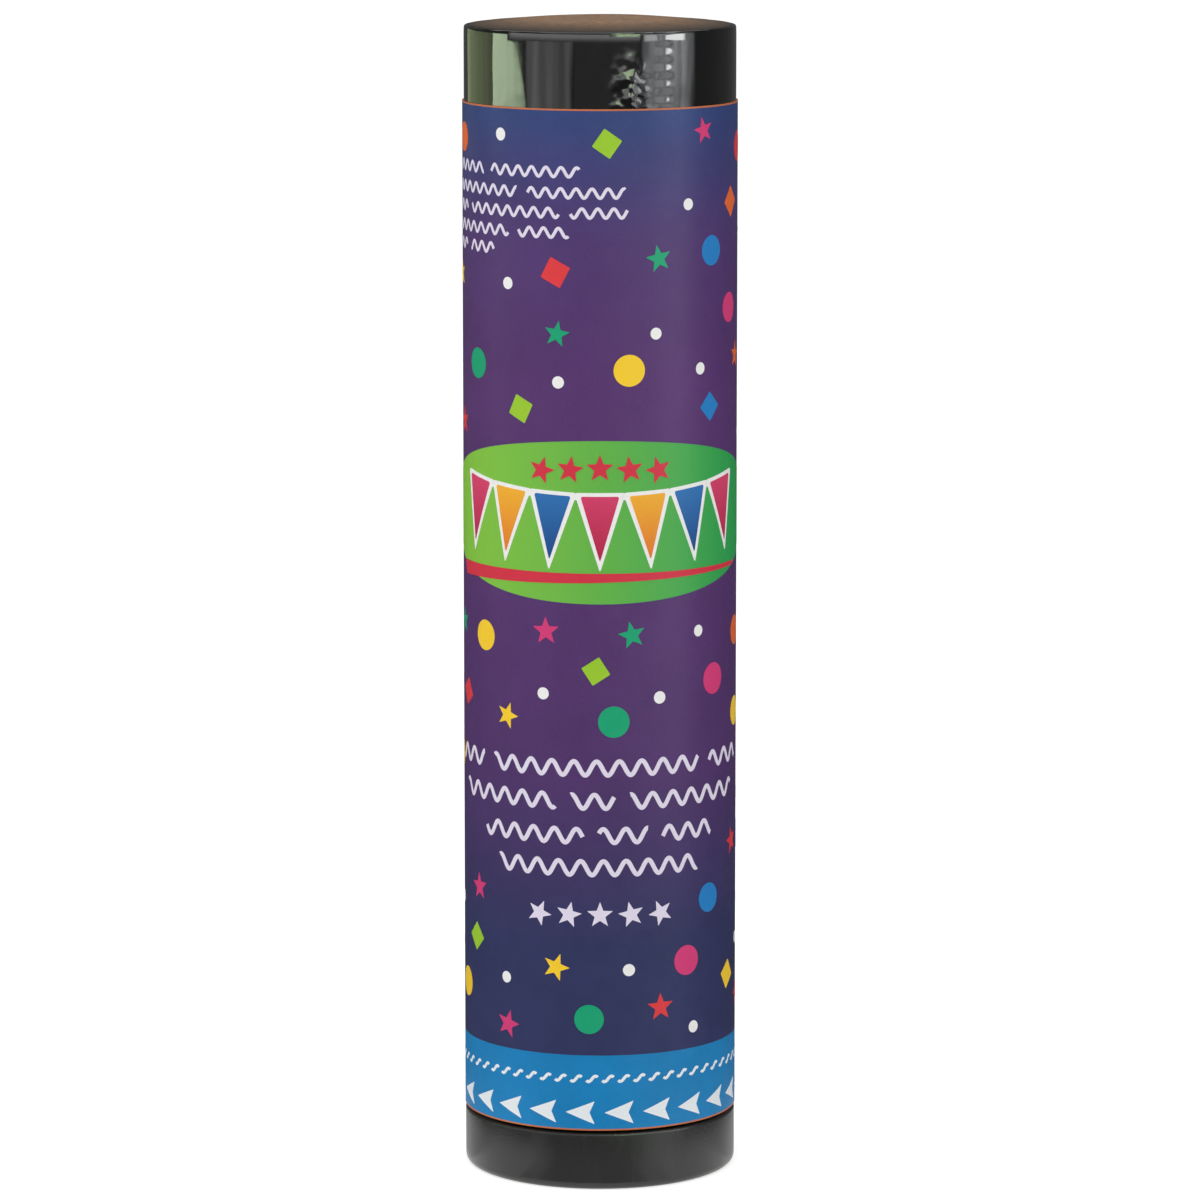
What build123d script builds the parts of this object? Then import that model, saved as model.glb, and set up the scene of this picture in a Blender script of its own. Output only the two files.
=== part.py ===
from build123d import *
import os
from math import cos, pi, sin, sqrt, tan

# A spring-loaded confetti popper: a card barrel, a twist base that works the latch, a sprung piston
# and the rolled streamers and loose confetti that it throws out through a paper cover.
# Sizes are in millimetres. The popper stands on its base at z = 0 and its front faces -Y.

# Outside of the barrel
outer_diameter = 25.4
rim_height = 106.6
label_top = 100.0
label_paper = 0.15
label_lap = 7.6
wrap_paper = 0.15
wrap_turn_in = 6.0
tube_wall = 1.2

# Mouth cover, a shallow paper dome
cover_paper = 0.2
cover_rise = 0.9
cover_inset = 0.3
crown_flat_radius = 4.5
shoulder_rise = 0.3
shoulder_depth = 0.2

# Twist base, with a snap spigot, a bearing hub and a stop lug
base_height = 5.4
base_inset = 0.05
base_floor = 1.6
base_wall = 1.5
base_edge_bevel = 0.55
base_top_bevel = 0.2
foot_ring = 1.9
foot_recess = 0.4
spigot_wall = 1.2
spigot_length = 3.7
bead_height = 1.0
bead_depth = 0.45
bearing_radius = 4.2
bearing_rise = 0.8
stop_lug_length = 3.4
stop_lug_width = 0.9
twist_travel = 90.0

# Bush in the lower end of the tube
bush_wall = 1.05
bush_skirt = 5.0
seat_thickness = 1.6
spring_ring_wall = 0.8
spring_ring_height = 1.5
spring_ring_inset = 1.1
stop_rib_length = 2.2

# Latch post
post_radius = 2.5
tang_length = 4.0
tang_width = 2.4
tang_depth = 2.6
head_gap = 0.5
head_thickness = 2.0
head_chamfer = 0.5

# Launch spring, held down
spring_wire = 1.2
wire_sides = 5
spring_turns = 4.0
spring_held_length = 12.3

# Piston
crown_thickness = 1.8
piston_wall = 1.0
piston_skirt = 3.7
piston_rim = 1.0
guide_lug_width = 5.0
guide_lug_depth = 2.5

# Paper load
wad_thickness = 1.2
streamer_colours = ["red", "yellow", "blue"]
streamer_width = 15.4
streamer_lap = 0.4
streamer_bore_radius = 1.5
confetti_colours = ["white", "lime", "green", "yellow", "red", "pink", "blue", "orange"]
slip_width = 7.6
slip_gap = 0.4
slip_margin = 0.1
slips_in_ring = 3
slip_layers = 36
slip_share = 0.69
layer_turn = 137.5
head_space = 0.3

# Clearances
running_gap = 0.3
latch_gap = 0.15
press_gap = 0.02
rest_gap = 0.05

# Radii that follow from the outside inwards
label_radius = outer_diameter / 2
wrap_radius = label_radius - label_paper
tube_radius = wrap_radius - wrap_paper
bore_radius = tube_radius - tube_wall
mouth_radius = bore_radius - wrap_paper
base_radius = label_radius - base_inset
bush_radius = bore_radius - press_gap
sleeve_radius = bush_radius - bush_wall
spigot_radius = sleeve_radius - running_gap
bearing_bore = bearing_radius + running_gap
piston_radius = bore_radius - running_gap
load_radius = mouth_radius - running_gap
cover_radius = tube_radius - cover_inset
spring_ring_radius = sleeve_radius - spring_ring_inset
spring_ring_bore = spring_ring_radius - spring_ring_wall
spring_mean_radius = spring_ring_bore - running_gap - spring_wire / 2
head_length = 2 * (spring_mean_radius - spring_wire / 2 - head_gap)
slip_inner = slip_width / 2 / tan(pi / slips_in_ring) + slip_gap
slip_reach = sqrt((load_radius - slip_margin) ** 2 - (slip_width / 2) ** 2)
slip_length = slip_reach - slip_inner

# Heights that follow from the base upwards
tube_bottom = base_height + running_gap
seat_low = tube_bottom + bush_skirt
seat_high = seat_low + seat_thickness
spring_low = seat_high + rest_gap
spring_pitch = (spring_held_length - spring_wire) / spring_turns
crown_low = spring_low + spring_held_length + rest_gap
crown_high = crown_low + crown_thickness
skirt_low = crown_low - piston_skirt
bush_top = skirt_low - running_gap
guide_low = skirt_low - guide_lug_depth
head_low = crown_high + latch_gap
head_high = head_low + head_thickness
piston_top = head_high + piston_rim
wad_low = piston_top + rest_gap
wad_high = wad_low + wad_thickness
rim_top = rim_height + wrap_paper
spigot_top = base_height + spigot_length
bead_middle = spigot_top - bead_height / 2
lug_top = seat_low - running_gap
bearing_top = seat_high + bearing_rise
post_foot = base_floor + tang_depth

os.makedirs("parts", exist_ok=True)


def save(part, name):
    part.label = name
    export_step(part, f"parts/{name}.step")


# Chipboard tube
with BuildPart() as barrel_tube:
    with BuildSketch(Plane.XY.offset(tube_bottom)):
        Circle(tube_radius)
        Circle(bore_radius, mode=Mode.SUBTRACT)
    extrude(amount=rim_height - tube_bottom)
save(barrel_tube.part, "barrel_tube")

# Gloss black paper, turned in over the mouth
with BuildPart() as barrel_wrap:
    with BuildSketch(Plane.XZ):
        with BuildLine():
            Polyline(
                (tube_radius, tube_bottom),
                (wrap_radius, tube_bottom),
                (wrap_radius, rim_top),
                (mouth_radius, rim_top),
                (mouth_radius, rim_height - wrap_turn_in),
                (bore_radius, rim_height - wrap_turn_in),
                (bore_radius, rim_height),
                (tube_radius, rim_height),
                close=True,
            )
        make_face()
    revolve(axis=Axis.Z)
save(barrel_wrap.part, "barrel_wrap")

# Printed label, its ends lapped at the back
lap_angle = label_lap / label_radius * 180 / pi
with BuildPart() as label:
    with BuildSketch(Plane.XY.offset(tube_bottom)):
        Circle(label_radius)
        Circle(wrap_radius, mode=Mode.SUBTRACT)
    extrude(amount=label_top - tube_bottom)
    with BuildSketch(Plane.XY.offset(tube_bottom)):
        with BuildLine():
            lap_outer = CenterArc((0, 0), label_radius + label_paper, 90, lap_angle)
            lap_inner = CenterArc((0, 0), label_radius, 90, lap_angle)
            Line(lap_outer @ 0, lap_inner @ 0)
            Line(lap_outer @ 1, lap_inner @ 1)
        make_face()
    extrude(amount=label_top - tube_bottom)
save(label.part, "label")

# Domed paper cover, glued to the mouth by its edge: a folded shoulder under a shallow crown
with BuildPart() as mouth_cover:
    with BuildSketch(Plane.XZ):
        with BuildLine():
            Polyline(
                (0, rim_top),
                (cover_radius, rim_top),
                (cover_radius - shoulder_depth, rim_top + shoulder_rise),
                (crown_flat_radius, rim_top + cover_rise),
                (0, rim_top + cover_rise),
                close=True,
            )
        make_face()
    revolve(axis=Axis.Z)
    offset(amount=-cover_paper, openings=mouth_cover.faces().sort_by(Axis.Z)[0])
save(mouth_cover.part, "mouth_cover")

# Twist base: a shelled knob with a snap spigot, a bearing hub and a stop lug
spigot_bore = spigot_radius - spigot_wall
core_radius = base_radius - base_wall
stop_radius = spigot_radius - running_gap - stop_lug_width / 2
with BuildPart() as twist_base:
    with BuildSketch(Plane.XZ):
        with BuildLine():
            Polyline(
                (0, foot_recess),
                (base_radius - foot_ring, foot_recess),
                (base_radius - foot_ring, 0),
                (base_radius, 0),
                (base_radius, base_height),
                (core_radius, base_height),
                (core_radius, base_floor),
                (spigot_radius, base_floor),
                (spigot_radius, spigot_top - bead_height),
                (spigot_radius + bead_depth, bead_middle),
                (spigot_radius, spigot_top),
                (spigot_bore, spigot_top),
                (spigot_bore, base_floor),
                (bearing_radius, base_floor),
                (bearing_radius, bearing_top),
                (0, bearing_top),
                close=True,
            )
        make_face()
    revolve(axis=Axis.Z)
    outer_edges = twist_base.edges().filter_by(GeomType.CIRCLE).group_by(SortBy.RADIUS)[-1]
    chamfer(outer_edges.sort_by(Axis.Z)[0], length=base_edge_bevel)
    outer_edges = twist_base.edges().filter_by(GeomType.CIRCLE).group_by(SortBy.RADIUS)[-1]
    chamfer(outer_edges.sort_by(Axis.Z)[-1], length=base_top_bevel)
    with BuildSketch(Plane.XY.offset(spigot_top)):
        with PolarLocations(stop_radius, 1):
            Rectangle(stop_lug_width, stop_lug_length)
    extrude(amount=lug_top - spigot_top)
    with BuildSketch(Plane.XY.offset(post_foot)):
        Circle(post_radius + press_gap)
    extrude(amount=bearing_top - post_foot, mode=Mode.SUBTRACT)
    with BuildSketch(Plane.XY.offset(base_floor)):
        Rectangle(tang_length + 2 * press_gap, tang_width + 2 * press_gap)
    extrude(amount=tang_depth, mode=Mode.SUBTRACT)
save(twist_base.part, "twist_base")

# T-headed latch post, keyed into the hub by its tang
with BuildPart() as latch_post:
    with BuildSketch(Plane.XY.offset(base_floor)):
        Rectangle(tang_length, tang_width)
    extrude(amount=tang_depth)
    with BuildSketch(Plane.XY.offset(post_foot)):
        Circle(post_radius)
    extrude(amount=head_low - post_foot)
    with BuildSketch(Plane.XY.offset(head_low)):
        SlotOverall(head_length, 2 * post_radius)
    extrude(amount=head_thickness)
    chamfer(latch_post.edges().group_by(Axis.Z)[-1], length=head_chamfer)
save(latch_post.part, "latch_post")

# Bush: sleeve, spring seat, snap groove, guide notches and stop ribs
groove_radius = spigot_radius + bead_depth + running_gap
groove_half = bead_height / 2 + running_gap
notch_low = guide_low - running_gap
stop_half_turn = (stop_lug_length / 2 + running_gap + stop_rib_length / 2) / stop_radius * 180 / pi
with BuildPart() as tube_bush:
    with BuildSketch(Plane.XZ):
        with BuildLine():
            Polyline(
                (sleeve_radius, tube_bottom),
                (bush_radius, tube_bottom),
                (bush_radius, bush_top),
                (sleeve_radius, bush_top),
                (sleeve_radius, seat_high),
                (spring_ring_radius, seat_high),
                (spring_ring_radius, seat_high + spring_ring_height),
                (spring_ring_bore, seat_high + spring_ring_height),
                (spring_ring_bore, seat_high),
                (bearing_bore, seat_high),
                (bearing_bore, seat_low),
                (sleeve_radius, seat_low),
                (sleeve_radius, bead_middle + groove_half),
                (groove_radius, bead_middle),
                (sleeve_radius, bead_middle - groove_half),
                close=True,
            )
        make_face()
    revolve(axis=Axis.Z)
    with BuildSketch(Plane.XY.offset(notch_low)):
        with PolarLocations((sleeve_radius + bush_radius) / 2, 2, start_angle=90):
            Rectangle(2 * bush_wall, guide_lug_width + 2 * running_gap)
    extrude(amount=bush_top - notch_low, mode=Mode.SUBTRACT)
    with BuildSketch(Plane.XY.offset(spigot_top + running_gap)):
        with PolarLocations(stop_radius, 1, start_angle=-stop_half_turn):
            Rectangle(stop_lug_width, stop_rib_length)
        with PolarLocations(stop_radius, 1, start_angle=twist_travel + stop_half_turn):
            Rectangle(stop_lug_width, stop_rib_length)
    extrude(amount=seat_low - spigot_top - running_gap)
save(tube_bush.part, "tube_bush")


# Launch spring: a true helix of quarter-turn biarcs
def helix_point(turn):
    angle = 2 * pi * turn
    rise = spring_low + spring_wire / 2 + spring_pitch * turn
    return Vector(spring_mean_radius * cos(angle), spring_mean_radius * sin(angle), rise)


def helix_direction(turn):
    angle = 2 * pi * turn
    around = 2 * pi * spring_mean_radius
    return Vector(-around * sin(angle), around * cos(angle), spring_pitch).normalized()


def biarc(start, start_direction, end, end_direction):
    across = end - start
    both = start_direction + end_direction
    a = 2 - 2 * start_direction.dot(end_direction)
    b = 2 * across.dot(both)
    reach = (sqrt(b * b + 4 * a * across.dot(across)) - b) / (2 * a)
    first = start + start_direction * reach
    second = end - end_direction * reach
    middle = (first + second) / 2
    TangentArc(start, middle, tangent=start_direction)
    TangentArc(middle, end, tangent=second - first)


quarter_turns = round(4 * spring_turns)
with BuildPart() as launch_spring:
    with BuildLine() as spring_path:
        for quarter in range(quarter_turns):
            here = quarter / 4
            there = here + 1 / 4
            biarc(helix_point(here), helix_direction(here), helix_point(there), helix_direction(there))
    with BuildSketch(Plane(helix_point(0), z_dir=helix_direction(0))):
        RegularPolygon(spring_wire / 2, wire_sides)
    sweep(path=spring_path.wires()[0])
save(launch_spring.part, "launch_spring")

points_per_turn = 48
point_count = round(spring_turns * points_per_turn) + 1
spring_points = [helix_point(step / points_per_turn) for step in range(point_count)]
least_gap = min(
    (one - other).length - spring_wire
    for index, one in enumerate(spring_points)
    for other in spring_points[index + points_per_turn // 2:]
)
print(f"launch spring: pitch {spring_pitch:.2f} mm, least gap to itself {least_gap:.2f} mm")

# Piston: crown with the latch slot, skirt, upper rim and guide lugs
piston_bore = piston_radius - piston_wall
with BuildPart() as piston:
    with BuildSketch(Plane.XZ):
        with BuildLine():
            Polyline(
                (0, crown_low),
                (piston_bore, crown_low),
                (piston_bore, skirt_low),
                (piston_radius, skirt_low),
                (piston_radius, piston_top),
                (piston_bore, piston_top),
                (piston_bore, crown_high),
                (0, crown_high),
                close=True,
            )
        make_face()
    revolve(axis=Axis.Z)
    with BuildSketch(Plane.XY.offset(crown_low)):
        SlotOverall(head_length + 2 * running_gap, 2 * (post_radius + running_gap))
    extrude(amount=crown_thickness, mode=Mode.SUBTRACT)
    with BuildSketch(Plane.XY.offset(guide_low)):
        Circle(piston_radius)
        Circle(piston_bore, mode=Mode.SUBTRACT)
        Rectangle(guide_lug_width, 2 * piston_radius, mode=Mode.INTERSECT)
    extrude(amount=guide_lug_depth)
save(piston.part, "piston")

# Card disc under the paper load
with BuildPart() as wad_disc:
    with BuildSketch(Plane.XY.offset(wad_low)):
        Circle(load_radius)
    extrude(amount=wad_thickness)
save(wad_disc.part, "wad_disc")

# Rolled streamers, each with its loose paper end lapped round the outside
streamer_pitch = streamer_width + rest_gap
half_lap = streamer_lap / 2
for number, colour in enumerate(streamer_colours):
    roll_low = wad_high + rest_gap + number * streamer_pitch
    with BuildPart() as streamer:
        with BuildSketch(Plane.XY.offset(roll_low).rotated((0, 0, layer_turn * number))):
            with BuildLine():
                outer_half = CenterArc((0, 0), load_radius, 0, 180)
                lapped_half = CenterArc((-half_lap, 0), load_radius - half_lap, 180, 180)
                Line(lapped_half @ 1, outer_half @ 0)
            make_face()
            with BuildLine():
                bore_half = CenterArc((0, 0), streamer_bore_radius, 0, 180)
                stepped_half = CenterArc((half_lap, 0), streamer_bore_radius + half_lap, 180, 180)
                Line(stepped_half @ 1, bore_half @ 0)
            make_face(mode=Mode.SUBTRACT)
        extrude(amount=streamer_width)
    save(streamer.part, f"streamer_{colour}")

# Loose confetti: layers of paper slips, each layer turned on the one below and dealt out by colour
confetti_low = wad_high + rest_gap + len(streamer_colours) * streamer_pitch
layer_pitch = (rim_top - head_space - confetti_low) / slip_layers
slip_paper = slip_share * layer_pitch
slips = {colour: [] for colour in confetti_colours}
dealt = 0
for layer in range(slip_layers):
    height = confetti_low + layer * layer_pitch + slip_paper / 2
    for place in range(slips_in_ring):
        colour = confetti_colours[dealt % len(confetti_colours)]
        turn = layer * layer_turn + place * 360 / slips_in_ring
        spot = Location((0, 0, height), (0, 0, turn)) * Location((slip_inner + slip_length / 2, 0, 0))
        slips[colour].append(spot)
        dealt += 1
for colour in confetti_colours:
    with BuildPart() as confetti:
        with Locations(*slips[colour]):
            Box(slip_length, slip_width, slip_paper)
    save(confetti.part, f"confetti_{colour}")
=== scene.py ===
"""Confetti popper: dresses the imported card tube, its print, mouldings, spring and paper load."""

import math
import random

import bpy
from bpy.props import FloatProperty, FloatVectorProperty, IntProperty, PointerProperty
from mathutils import Matrix, Vector, noise


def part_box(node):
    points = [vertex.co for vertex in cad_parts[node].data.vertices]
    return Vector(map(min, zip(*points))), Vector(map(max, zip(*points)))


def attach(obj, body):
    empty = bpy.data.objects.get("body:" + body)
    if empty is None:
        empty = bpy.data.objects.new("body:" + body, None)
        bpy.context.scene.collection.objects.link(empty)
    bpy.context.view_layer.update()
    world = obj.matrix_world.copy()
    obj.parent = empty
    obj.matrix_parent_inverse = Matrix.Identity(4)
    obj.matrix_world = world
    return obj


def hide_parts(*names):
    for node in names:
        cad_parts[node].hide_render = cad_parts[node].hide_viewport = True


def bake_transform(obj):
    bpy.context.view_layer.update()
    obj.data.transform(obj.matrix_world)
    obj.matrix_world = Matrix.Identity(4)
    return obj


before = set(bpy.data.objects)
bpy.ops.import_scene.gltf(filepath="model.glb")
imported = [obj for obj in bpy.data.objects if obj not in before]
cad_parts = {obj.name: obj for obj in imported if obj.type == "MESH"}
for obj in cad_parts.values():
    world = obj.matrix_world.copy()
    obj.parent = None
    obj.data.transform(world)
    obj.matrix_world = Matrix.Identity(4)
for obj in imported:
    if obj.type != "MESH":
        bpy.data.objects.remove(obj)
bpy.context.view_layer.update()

bl_info = {
    "name": "Confetti Popper",
    "version": (1, 0, 0),
    "blender": (4, 5, 0),
    "location": "View3D > Sidebar > Popper",
    "description": "Models and dresses a twist confetti popper over its packed frame",
    "category": "Object",
}

MM = 0.001
label_low_corner, label_high_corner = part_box("label")
_, base_high_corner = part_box("twist_base")
wrap_low_corner, wrap_high_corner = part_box("barrel_wrap")
cover_low_corner, cover_high_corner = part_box("mouth_cover")
_, bush_high_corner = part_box("tube_bush")
tube_low_corner, tube_high_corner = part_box("barrel_tube")
spring_low_corner, spring_high_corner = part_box("launch_spring")

WELD = 1e-6  # points of a mesh nearer than this, in metres, are one
NOISE_SPAN = (0.3, 0.7)  # the levels between which most of a noise texture lies
BADGE_HEIGHT = 62.4  # middle of the printed oval, in millimetres


def ink(code):
    """Turns a six-figure sRGB code into the linear colour that shaders take."""
    values = [int(code[place:place + 2], 16) / 255 for place in (0, 2, 4)]
    return tuple(v / 12.92 if v <= 0.04045 else ((v + 0.055) / 1.055) ** 2.4 for v in values) + (1.0,)


def length(title, description, default):
    return FloatProperty(name=title, description=description, default=default, min=0.0, unit="LENGTH", precision=5)


def shade(title, description, code):
    return FloatVectorProperty(
        name=title, description=description, default=ink(code), size=4, min=0.0, max=1.0, subtype="COLOR"
    )


class PopperSizes(bpy.types.PropertyGroup):
    label_radius: length("Label radius", "Outside of the printed label", label_high_corner.x)
    label_low: length("Label foot", "Height of the label's lower edge", label_low_corner.z)
    label_high: length("Label head", "Height of the label's upper edge", label_high_corner.z)
    label_paper: length("Label paper", "Thickness of the label", 0.15 * MM)
    lap_width: length("Lap", "Width of the label's lap at the back", 7.6 * MM)
    band_top: length("Arrow band", "Height of the arrow band's upper edge", 12.8 * MM)
    ink_proud: length("Ink", "How far a layer of ink stands on the one below", 0.02 * MM)
    base_radius: length("Base radius", "Outside of the twist base", base_high_corner.x)
    base_height: length("Base height", "Height of the twist base's rim", tube_low_corner.z - 0.3 * MM)
    base_round: length("Base edge", "Rounding of the base's lower edge", 0.75 * MM)
    cover_radius: length("Cover radius", "Outside of the paper cover", cover_high_corner.x)
    lip_rise: length("Lip", "How far the rolled edge of the wrap stands over the rim", 0.14 * MM)
    spring_wire: length("Spring wire", "Thickness of the spring's wire", 1.2 * MM)
    spring_turns: FloatProperty(name="Spring turns", description="Turns of the launch spring", default=4.0, min=1.0)
    confetti_count: IntProperty(name="Printed confetti", description="Shapes printed on the label", default=152, min=0)
    arrow_count: IntProperty(name="Arrows", description="Arrows printed round the band", default=22, min=1)
    streamer_turns: IntProperty(name="Streamer turns", description="Turns of paper in a roll", default=16, min=2)
    slip_count: IntProperty(name="Slips", description="Loose slips of confetti in the load", default=240, min=8)
    slip_width: length("Slip", "Width of a confetti slip", 7.4 * MM)
    turning_steps: IntProperty(name="Turning steps", description="Faces round a turned piece", default=192, min=24)


class PopperColours(bpy.types.PropertyGroup):
    label_head: shade("Label head", "Label near its upper edge", "2f447a")
    label_shoulder: shade("Label shoulder", "Label between head and middle", "503670")
    label_middle: shade("Label middle", "Label round the badge", "57336f")
    label_skirt: shade("Label skirt", "Label between middle and foot", "51336b")
    label_foot: shade("Label foot", "Label above the arrow band", "313661")
    band: shade("Band", "Band that carries the arrows", "0b80bd")
    edge_line: shade("Edge line", "Hairline at the label's cut edges", "c47048")
    badge_left: shade("Badge left", "Left end of the oval badge", "86c73e")
    badge_right: shade("Badge right", "Right end of the oval badge", "22a352")
    lilac: shade("Lilac", "Printed squiggles", "e6def0")
    gloss_black: shade("Gloss black", "Paper round the tube", "0b0b0b")
    kraft: shade("Kraft", "Paper of the mouth cover", "95765c")
    board: shade("Board", "Chipboard of the tube and wad", "9a8468")
    moulding_black: shade("Black moulding", "Twist base and bush", "222322")
    moulding_natural: shade("Natural moulding", "Piston and latch post", "d9d6cc")
    steel: shade("Steel", "Spring wire", "b4b5b8")


PAPER_CODES = {
    "white": "f4f4f2", "lime": "9ccb2d", "green": "10a574", "yellow": "ffd02b",
    "red": "e23a3f", "pink": "d83a78", "blue": "1f80c8", "orange": "e8692c",
}

# Shapes on the front of the label, each as its share of the way to the barrel's side and its height in millimetres.
FRONT_CONFETTI = {
    "white dot": [
        (-0.71, 97.5), (0.63, 91.2), (-0.66, 84.0), (0.40, 79.6), (-0.30, 75.2), (0.72, 76.1), (0.71, 51.9),
        (-0.41, 46.5), (0.43, 46.1), (-0.68, 19.5), (0.21, 20.8), (0.68, 14.8), (-0.995, 25.6),
    ],
    "green disc": [(-0.88, 76.3), (0.10, 44.0), (-0.08, 16.2)],
    "yellow disc": [(0.21, 76.3), (-0.83, 51.2), (0.98, 43.4), (-0.97, 17.8)],
    "blue disc": [(0.80, 86.8), (0.79, 26.7)],
    "pink disc": [(0.93, 81.3), (0.82, 47.2), (0.63, 21.2)],
    "orange disc": [(0.98, 51.0)],
    "green star": [(0.42, 86.4), (-0.31, 79.6), (0.23, 52.0)],
    "pink star": [(0.74, 97.8), (-0.39, 52.3), (-0.88, 27.4), (-0.67, 15.1)],
    "yellow star": [(-0.67, 44.1), (-0.32, 21.0)],
    "red star": [(-0.98, 70.6), (0.96, 31.3), (0.44, 17.1)],
    "lime diamond": [(0.05, 96.9), (-0.57, 72.6), (-0.03, 48.7), (-0.90, 22.6)],
    "red diamond": [(-0.32, 85.2), (-0.96, 45.4)],
    "blue diamond": [(0.79, 72.5)],
    "orange diamond": [(0.94, 91.0)],
    "yellow diamond": [(0.93, 18.8)],
}


class Wire:
    """A socket of a finish, with arithmetic that adds Math nodes."""

    def __init__(self, finish, socket):
        self.finish = finish
        self.socket = socket

    def math(self, operation, other=0.0, reflected=False):
        first, second = (other, self) if reflected else (self, other)
        return self.finish.node("Math", {0: first, 1: second}, {"operation": operation})

    def __add__(self, other):
        return self.math("ADD", other)

    __radd__ = __add__

    def __sub__(self, other):
        return self.math("SUBTRACT", other)

    def __rsub__(self, other):
        return self.math("SUBTRACT", other, True)

    def __mul__(self, other):
        return self.math("MULTIPLY", other)

    __rmul__ = __mul__

    def __truediv__(self, other):
        return self.math("DIVIDE", other)

    def __gt__(self, other):
        return self.math("GREATER_THAN", other)

    def __lt__(self, other):
        return self.math("LESS_THAN", other)


class NodeTree:
    """A node tree to which nodes are added with their settings and sockets."""

    def __init__(self, owner, bare=True):
        owner.use_nodes = True
        self.tree = owner.node_tree
        if bare:
            self.tree.nodes.clear()

    def node(self, kind, sockets=None, settings=None, output=0):
        made = self.tree.nodes.new(f"ShaderNode{kind}")
        for key, value in (settings or {}).items():
            if key == "stops":
                ramp = made.color_ramp
                while len(ramp.elements) < len(value):
                    ramp.elements.new(1.0)
                for element, (position, colour) in zip(ramp.elements, value):
                    element.position = position
                    element.color = colour
            else:
                setattr(made, key, value)
        for key, value in (sockets or {}).items():
            if isinstance(value, Wire):
                self.tree.links.new(value.socket, made.inputs[key])
            else:
                made.inputs[key].default_value = value
        return Wire(self, made.outputs[output]) if made.outputs else None

    def split(self, output, lighting, seen):
        """Ends the tree with one shader for lighting and another where the camera, gloss or glass sees it."""
        mask, gloss, glass = [
            self.node("LightPath", output=f"Is {ray} Ray") for ray in ("Camera", "Glossy", "Transmission")
        ]
        mask = mask.math("MAXIMUM", gloss).math("MAXIMUM", glass)
        self.node(output, {0: self.node("MixShader", {0: mask, 1: lighting, 2: seen})})


class Finish(NodeTree):
    """A procedural material built round one Principled shader."""

    def __init__(self, name, constants):
        self.material = bpy.data.materials.new(name)
        super().__init__(self.material, bare=False)
        self.shader = self.tree.nodes["Principled BSDF"]
        for socket, value in constants.items():
            self.shader.inputs[socket].default_value = value
        self.place = self.node("TexCoord", output="Object")

    def axes(self):
        return [self.node("SeparateXYZ", {0: self.place}, output=axis) for axis in range(3)]

    def stretched(self, scale):
        return self.node("Mapping", {"Vector": self.place, "Scale": scale})

    def grain(self, scale, detail=3.0, roughness=0.55, vector=None):
        sockets = {"Vector": vector or self.place, "Scale": scale, "Detail": detail, "Roughness": roughness}
        return self.node("TexNoise", sockets)

    def spread(self, value, low, high, to_low, to_high):
        sockets = {0: value, 1: low, 2: high, 3: to_low, 4: to_high}
        return self.node("MapRange", sockets, {"clamp": True})

    def levels(self, noise_level, to_low, to_high):
        return self.spread(noise_level, *NOISE_SPAN, to_low, to_high)

    def mix(self, factor, one, other, blend="MIX"):
        sockets = {0: factor, 6: one, 7: other}
        return self.node("Mix", sockets, {"data_type": "RGBA", "blend_type": blend}, 2)

    def tinted(self, factor, colour, low, high):
        """The colour made darker and lighter as a mask goes from 0 to 1."""
        dark = tuple(channel * low for channel in colour[:3]) + (1.0,)
        light = tuple(min(1.0, channel * high) for channel in colour[:3]) + (1.0,)
        return self.mix(factor, dark, light)

    def feed(self, socket, value):
        self.tree.links.new(value.socket, self.shader.inputs[socket])

    def rough(self, noise_level, low, high):
        self.feed("Roughness", self.levels(noise_level, low, high))

    def bump(self, height, distance):
        self.feed("Normal", self.node("Bump", {"Height": height, "Distance": distance}))


def gloss_paper(colours):
    """Laminated black paper, gently rucked."""
    finish = Finish("gloss black paper", {"IOR": 1.65, "Coat Weight": 0.4, "Coat Roughness": 0.02})
    finish.feed("Base Color", finish.tinted(finish.grain(2600.0), colours.gloss_black, 0.6, 1.6))
    finish.feed("Roughness", finish.spread(finish.grain(700.0), 0.3, 0.75, 0.03, 0.09))
    finish.bump(finish.grain(230.0, 3.0, 0.4, finish.stretched((1.0, 1.0, 0.14))), 0.11 * MM)
    return finish.material


def label_paper(colours, sizes):
    """Satin label with its printed ground: a soft gradient, the arrow band and cut edges."""
    finish = Finish("printed label", {"Specular IOR Level": 0.2})
    right, back, up = finish.axes()
    low, high, band = sizes.label_low, sizes.label_high, sizes.band_top
    stops = [
        (0.12, colours.label_foot),
        (0.3, colours.label_skirt),
        (0.52, colours.label_middle),
        (0.72, colours.label_middle),
        (0.86, colours.label_shoulder),
        (1.0, colours.label_head),
    ]
    along = finish.spread(up, band, high, 0.0, 1.0)
    ground = finish.node("ValToRGB", {0: along}, {"stops": stops})
    ground = finish.mix(up < band, ground, colours.band)
    hair = 0.15 * MM
    lap_end = math.pi / 2 + sizes.lap_width / sizes.label_radius
    off_lap = (back.math("ARCTAN2", right) - lap_end).math("ABSOLUTE") * sizes.label_radius
    edges = ((up < low + hair) + (up > high - hair) + (off_lap < hair / 2)).math("MINIMUM", 1.0)
    ground = finish.mix(edges, ground, colours.edge_line)
    mottle = finish.grain(5200.0, 2.0)
    lift = finish.levels(finish.grain(160.0), 0.93, 1.07) * finish.spread(mottle, 0.25, 0.75, 0.94, 1.06)
    grey = finish.node("CombineXYZ", {0: lift, 1: lift, 2: lift})
    finish.feed("Base Color", finish.mix(1.0, ground, grey, "MULTIPLY"))
    finish.rough(finish.grain(900.0), 0.34, 0.46)
    finish.bump(mottle * 0.5 + finish.grain(420.0, 2.0), 0.012 * MM)
    return finish.material


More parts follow.
